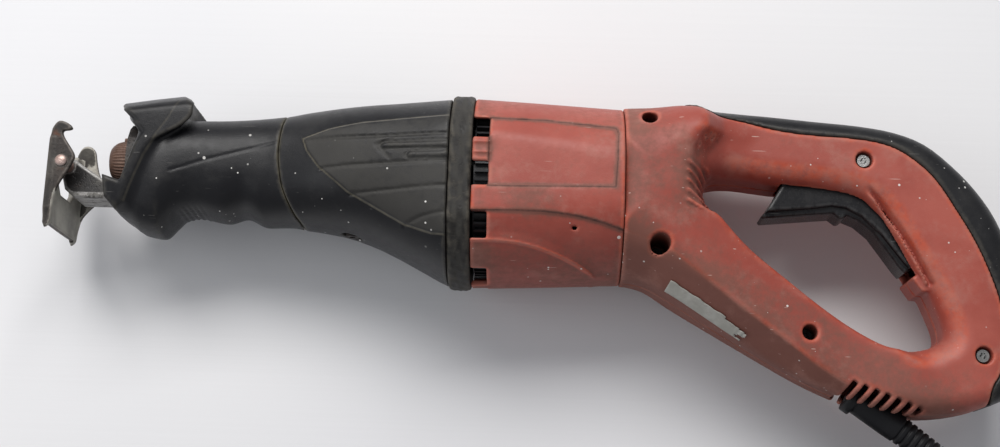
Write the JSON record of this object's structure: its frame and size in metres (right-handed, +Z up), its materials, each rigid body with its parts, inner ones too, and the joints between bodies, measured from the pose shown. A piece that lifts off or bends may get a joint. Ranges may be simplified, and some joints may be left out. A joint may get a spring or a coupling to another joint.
{
  "type": "reciprocating saw",
  "caption": "Corded reciprocating saw with a closed rear handle and long trigger, a rubber front grip with hand guard, a keyless blade clamp and a tilting, sliding shoe.",
  "frame": {"origin": "under the middle of the saw's box, without its cord, on the surface that it lies on", "axes": "+X from the shoe to the rear handle, +Y towards the tool's top edge, +Z up out of its left side as it lies on its right side"},
  "size_m": [0.4864, 0.3318, 0.09],
  "materials": {
    "housing_red": "dusty worn moulded plastic",
    "grip_black": "worn rubber with scuffs",
    "trim_black": "moulded plastic",
    "rusty_steel": "rusted, blackened steel",
    "worn_steel": "worn steel",
    "bright_steel": "ground steel",
    "gear_alloy": "cast, matt",
    "bronze": "sintered bronze",
    "copper": "copper wire and segments",
    "carbon": "pressed carbon",
    "cord_black": "round rubber cable"
  },
  "bodies": {
    "housing": {"motor_housing": "housing_red", "air_guide": "trim_black", "collar_band": "trim_black", "gear_cover": "grip_black", "gear_cover_screw": "bright_steel", "front_grip": "grip_black", "gear_housing": "gear_alloy", "bearing_plate": "gear_alloy", "plunger_bush_front": "bronze", "plunger_bush_rear": "bronze", "plunger_seal": "grip_black", "crank_bearing": "bright_steel", "front_bearing": "bright_steel", "rear_bearing": "bright_steel", "stator_core": "worn_steel", "field_winding_front": "copper", "field_winding_rear": "copper", "brush_holder_upper": "bronze", "carbon_brush_upper": "carbon", "brush_holder_lower": "bronze", "carbon_brush_lower": "carbon", "handle_shell_left": "housing_red", "handle_shell_right": "housing_red", "soft_strip": "grip_black", "handle_screw_1": "bright_steel", "handle_screw_2": "bright_steel", "handle_screw_3": "bright_steel", "handle_screw_4": "bright_steel", "handle_screw_5": "bright_steel", "switch_body": "trim_black", "electronics_module": "trim_black", "cord_clamp": "trim_black", "cord_boot": "cord_black", "power_cord": "cord_black", "power_cord_tail": "cord_black", "cord_coil": "cord_black", "coil_tie": "trim_black", "plug_body": "cord_black", "plug_pin_upper": "bright_steel", "plug_pin_lower": "bright_steel"},
    "rail": {"shoe_rail": "worn_steel"},
    "shoe": {"shoe": "rusty_steel", "shoe_rivet_left": "worn_steel", "shoe_rivet_right": "worn_steel"},
    "plunger": {"plunger": "bright_steel"},
    "clamp": {"blade_clamp_sleeve": "rusty_steel"},
    "armature": {"armature_shaft": "bright_steel", "armature_core": "worn_steel", "commutator": "copper", "cooling_fan": "trim_black"},
    "crank": {"crank_gear": "bright_steel", "crank_roller": "bright_steel"},
    "trigger": {"trigger": "trim_black"}
  },
  "joints": [
    {"name": "shoe_slide", "type": "slide", "parent": "housing", "child": "rail", "axis": [-1, 0, 0], "range_m": [0, 0.03]},
    {"name": "shoe_tilt", "type": "hinge", "parent": "rail", "child": "shoe", "pos_m": [-0.23665, 0.03399, 0.045], "axis": [0, 0, 1], "range_deg": [-30, 15]},
    {"name": "plunger_stroke", "type": "slide", "parent": "housing", "child": "plunger", "axis": [-1, 0, 0], "range_m": [-0.03, 0.002]},
    {"name": "clamp_twist", "type": "hinge", "parent": "plunger", "child": "clamp", "pos_m": [-0.20725, 0.03979, 0.045], "axis": [-1, 0, 0], "range_deg": [0, 60], "stiffness_Nm_per_rad": 0.1, "springref_deg": -17.19},
    {"name": "armature_spin", "type": "hinge", "parent": "housing", "child": "armature", "pos_m": [-0.01525, 0.02899, 0.045], "axis": [1, 0, 0], "continuous": true},
    {"name": "crank_spin", "type": "hinge", "parent": "housing", "child": "crank", "pos_m": [-0.08365, 0.01899, 0.045], "axis": [0, 1, 0], "continuous": true},
    {"name": "trigger_pull", "type": "hinge", "parent": "housing", "child": "trigger", "pos_m": [0.19075, -0.00301, 0.045], "axis": [0, 0, -1], "range_deg": [0, 4.5], "stiffness_Nm_per_rad": 1.5, "springref_deg": -4.58}
  ],
  "couplings": [
    {"joint": "crank_spin", "follows": "armature_spin", "ratio": 0.16667}
  ]
}
